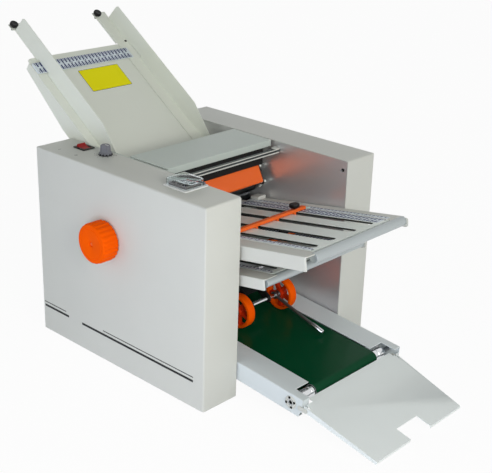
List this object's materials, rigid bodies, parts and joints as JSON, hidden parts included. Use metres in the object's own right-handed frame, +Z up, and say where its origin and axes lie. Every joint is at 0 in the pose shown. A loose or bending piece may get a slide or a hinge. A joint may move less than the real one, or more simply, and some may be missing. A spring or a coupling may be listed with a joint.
{
  "type": "paper folding machine",
  "caption": "Table-top buckle paper folding machine with sloping feed table, slatted fold plates, belt delivery, press wheels and folding tray.",
  "frame": {"origin": "under the middle of the bounding box, on the surface that the rubber feet stand on", "axes": "+Z up, the delivery tray faces -Y, the handwheel is on the -X side"},
  "size_m": [0.5606, 1.1326, 0.681],
  "materials": {
    "painted_white": "smooth light grey-white powder coat",
    "painted_grey": "satin light grey paint",
    "slat_metal": "satin sheet",
    "side_plate_steel": "glossy",
    "steel": "ground",
    "ruler_steel": "satin, graduated",
    "chrome": "polished",
    "orange_paint": "gloss",
    "orange_plastic": "moulded",
    "black_paint": "satin",
    "black_plastic": "moulded",
    "red_plastic": "moulded",
    "grey_plastic": "moulded",
    "clear_plastic": "clear",
    "foot_rubber": "moulded",
    "roller_rubber": "ground",
    "belt_green": "smooth belt",
    "motor_paint": "painted"
  },
  "bodies": {
    "chassis": {"left_casing": "painted_white", "right_casing": "painted_white", "left_side_frame": "side_plate_steel", "right_side_frame": "side_plate_steel", "foot_front_left": "foot_rubber", "foot_rear_left": "foot_rubber", "foot_front_right": "foot_rubber", "foot_rear_right": "foot_rubber", "base_plate": "painted_grey", "power_inlet": "black_plastic", "switch_bezel": "black_plastic", "counter_body": "grey_plastic", "front_tie_bar": "chrome", "separator_beam": "orange_paint", "feed_drive_belt": "roller_rubber", "conveyor_drive_belt": "roller_rubber", "main_drive_belt": "roller_rubber", "motor": "motor_paint", "feed_table": "painted_white", "ruler_bar": "ruler_steel", "upper_fold_plate": "slat_metal", "upper_plate_frame": "painted_white", "lower_fold_plate": "slat_metal", "lower_plate_frame": "painted_white", "rear_upper_fold_plate": "slat_metal", "rear_lower_fold_plate": "slat_metal", "conveyor_left_rail": "painted_white", "conveyor_right_rail": "painted_white", "conveyor_bed": "steel", "conveyor_belt": "belt_green"},
    "main_roller": {"fold_roller_2": "steel", "handwheel": "orange_plastic"},
    "roller_1": {"fold_roller_1": "steel"},
    "roller_3": {"fold_roller_3": "steel"},
    "roller_4": {"fold_roller_4": "steel"},
    "roller_5": {"fold_roller_5": "steel"},
    "roller_6": {"fold_roller_6": "steel"},
    "feeder": {"feed_roller": "roller_rubber"},
    "motor_rotor": {"motor_shaft": "steel"},
    "belt_rear_roller": {"conveyor_rear_roller": "steel"},
    "belt_front_roller": {"conveyor_front_roller": "chrome"},
    "arm": {"press_arm": "black_paint"},
    "wheel_left": {"left_press_wheel": "orange_plastic"},
    "wheel_right": {"right_press_wheel": "orange_plastic"},
    "rod": {"guide_rod": "steel"},
    "tray": {"delivery_tray": "painted_white"},
    "cover": {"top_cover": "painted_grey"},
    "rocker": {"switch_rocker": "red_plastic"},
    "knob": {"speed_knob": "grey_plastic"},
    "counter_lid": {"counter_cover": "clear_plastic"},
    "guide_left": {"left_side_guide": "painted_white"},
    "guide_right": {"right_side_guide": "painted_white"},
    "screw_left": {"left_guide_screw": "black_plastic"},
    "screw_right": {"right_guide_screw": "black_plastic"},
    "stop_upper": {"upper_stop_bar": "orange_paint"},
    "stop_lower": {"lower_stop_bar": "orange_paint"},
    "clamp_upper": {"upper_stop_knob": "black_plastic"},
    "clamp_lower": {"lower_stop_knob": "black_plastic"},
    "stop_rear_upper": {"rear_upper_stop_bar": "orange_paint"},
    "stop_rear_lower": {"rear_lower_stop_bar": "orange_paint"}
  },
  "joints": [
    {"name": "main_roller_spin", "type": "hinge", "parent": "chassis", "child": "main_roller", "pos_m": [0.02025, 0.08436, 0.2985], "axis": [1, 0, 0], "continuous": true},
    {"name": "roller_1_spin", "type": "hinge", "parent": "chassis", "child": "roller_1", "pos_m": [0.02025, 0.06636, 0.32968], "axis": [1, 0, 0], "continuous": true},
    {"name": "roller_3_spin", "type": "hinge", "parent": "chassis", "child": "roller_3", "pos_m": [0.02025, 0.06636, 0.26732], "axis": [1, 0, 0], "continuous": true},
    {"name": "roller_4_spin", "type": "hinge", "parent": "chassis", "child": "roller_4", "pos_m": [0.02025, 0.08436, 0.23615], "axis": [1, 0, 0], "continuous": true},
    {"name": "roller_5_spin", "type": "hinge", "parent": "chassis", "child": "roller_5", "pos_m": [0.02025, 0.06636, 0.20497], "axis": [1, 0, 0], "continuous": true},
    {"name": "roller_6_spin", "type": "hinge", "parent": "chassis", "child": "roller_6", "pos_m": [0.02025, 0.08436, 0.17379], "axis": [1, 0, 0], "continuous": true},
    {"name": "feed_roller_spin", "type": "hinge", "parent": "chassis", "child": "feeder", "pos_m": [0.02025, 0.104, 0.36937], "axis": [1, 0, 0], "continuous": true},
    {"name": "motor_spin", "type": "hinge", "parent": "chassis", "child": "motor_rotor", "pos_m": [0.02025, 0.23176, 0.0866], "axis": [1, 0, 0], "continuous": true},
    {"name": "belt_rear_roller_spin", "type": "hinge", "parent": "chassis", "child": "belt_rear_roller", "pos_m": [0.02025, 0.00756, 0.08861], "axis": [1, 0, 0], "continuous": true},
    {"name": "belt_front_roller_spin", "type": "hinge", "parent": "chassis", "child": "belt_front_roller", "pos_m": [0.02025, -0.35307, 0.05706], "axis": [1, 0, 0], "continuous": true},
    {"name": "press_arm_lift", "type": "hinge", "parent": "chassis", "child": "arm", "pos_m": [0.02025, -0.04324, 0.1753], "axis": [-1, 0, 0], "range_deg": [0, 25]},
    {"name": "left_press_wheel_spin", "type": "hinge", "parent": "arm", "child": "wheel_left", "pos_m": [0.02025, -0.10724, 0.13247], "axis": [1, 0, 0], "continuous": true},
    {"name": "right_press_wheel_spin", "type": "hinge", "parent": "arm", "child": "wheel_right", "pos_m": [0.02025, -0.10724, 0.13247], "axis": [1, 0, 0], "continuous": true},
    {"name": "guide_rod_lift", "type": "hinge", "parent": "arm", "child": "rod", "pos_m": [0.08225, -0.10724, 0.13247], "axis": [-1, 0, 0], "range_deg": [0, 30]},
    {"name": "tray_fold", "type": "hinge", "parent": "chassis", "child": "tray", "pos_m": [0.02025, -0.39219, 0.05333], "axis": [-1, 0, 0], "range_deg": [0, 90]},
    {"name": "top_cover_open", "type": "hinge", "parent": "chassis", "child": "cover", "pos_m": [0.02025, 0.11776, 0.4383], "axis": [-1, 0, 0], "range_deg": [0, 80]},
    {"name": "switch_rock", "type": "hinge", "parent": "chassis", "child": "rocker", "pos_m": [-0.16975, 0.23776, 0.4476], "axis": [1, 0, 0], "range_deg": [-22, 0]},
    {"name": "speed_knob_turn", "type": "hinge", "parent": "chassis", "child": "knob", "pos_m": [-0.16625, 0.16976, 0.4503], "axis": [0, 0, -1], "range_deg": [0, 280]},
    {"name": "counter_cover_open", "type": "hinge", "parent": "chassis", "child": "counter_lid", "pos_m": [-0.15385, -0.09124, 0.4535], "axis": [0, 1, 0], "range_deg": [0, 100]},
    {"name": "left_guide_slide", "type": "slide", "parent": "chassis", "child": "guide_left", "axis": [1, 0, 0], "range_m": [-0.017, 0.09]},
    {"name": "right_guide_slide", "type": "slide", "parent": "chassis", "child": "guide_right", "axis": [-1, 0, 0], "range_m": [-0.017, 0.09]},
    {"name": "left_guide_screw_turn", "type": "hinge", "parent": "guide_left", "child": "screw_left", "pos_m": [-0.1185, 0.54875, 0.66331], "axis": [0, -0.5678, 0.8231], "continuous": true},
    {"name": "right_guide_screw_turn", "type": "hinge", "parent": "guide_right", "child": "screw_right", "pos_m": [0.1275, 0.54875, 0.66331], "axis": [0, -0.5678, 0.8231], "continuous": true},
    {"name": "upper_stop_slide", "type": "slide", "parent": "chassis", "child": "stop_upper", "axis": [0, -0.987, 0.1609], "range_m": [-0.17, 0.2]},
    {"name": "lower_stop_slide", "type": "slide", "parent": "chassis", "child": "stop_lower", "axis": [0, -0.987, 0.1609], "range_m": [-0.14, 0.125]},
    {"name": "upper_stop_knob_turn", "type": "hinge", "parent": "stop_upper", "child": "clamp_upper", "pos_m": [0.10425, -0.13327, 0.34374], "axis": [0, 0.1609, 0.987], "continuous": true},
    {"name": "lower_stop_knob_turn", "type": "hinge", "parent": "stop_lower", "child": "clamp_lower", "pos_m": [0.10425, -0.10761, 0.2772], "axis": [0, 0.1609, 0.987], "continuous": true},
    {"name": "rear_upper_stop_slide", "type": "slide", "parent": "chassis", "child": "stop_rear_upper", "axis": [0, 0.987, 0.1609], "range_m": [-0.13, 0.04]},
    {"name": "rear_lower_stop_slide", "type": "slide", "parent": "chassis", "child": "stop_rear_lower", "axis": [0, 0.987, 0.1609], "range_m": [-0.13, 0.04]}
  ],
  "couplings": [
    {"joint": "roller_1_spin", "follows": "main_roller_spin", "ratio": -1},
    {"joint": "roller_3_spin", "follows": "main_roller_spin", "ratio": -1},
    {"joint": "roller_4_spin", "follows": "main_roller_spin", "ratio": 1},
    {"joint": "roller_5_spin", "follows": "main_roller_spin", "ratio": -1},
    {"joint": "roller_6_spin", "follows": "main_roller_spin", "ratio": 1},
    {"joint": "feed_roller_spin", "follows": "main_roller_spin", "ratio": -0.75},
    {"joint": "motor_spin", "follows": "main_roller_spin", "ratio": 2.5},
    {"joint": "belt_rear_roller_spin", "follows": "main_roller_spin", "ratio": 0.6},
    {"joint": "belt_front_roller_spin", "follows": "main_roller_spin", "ratio": 0.6},
    {"joint": "left_press_wheel_spin", "follows": "main_roller_spin", "ratio": -0.2542},
    {"joint": "right_press_wheel_spin", "follows": "main_roller_spin", "ratio": -0.2542}
  ]
}
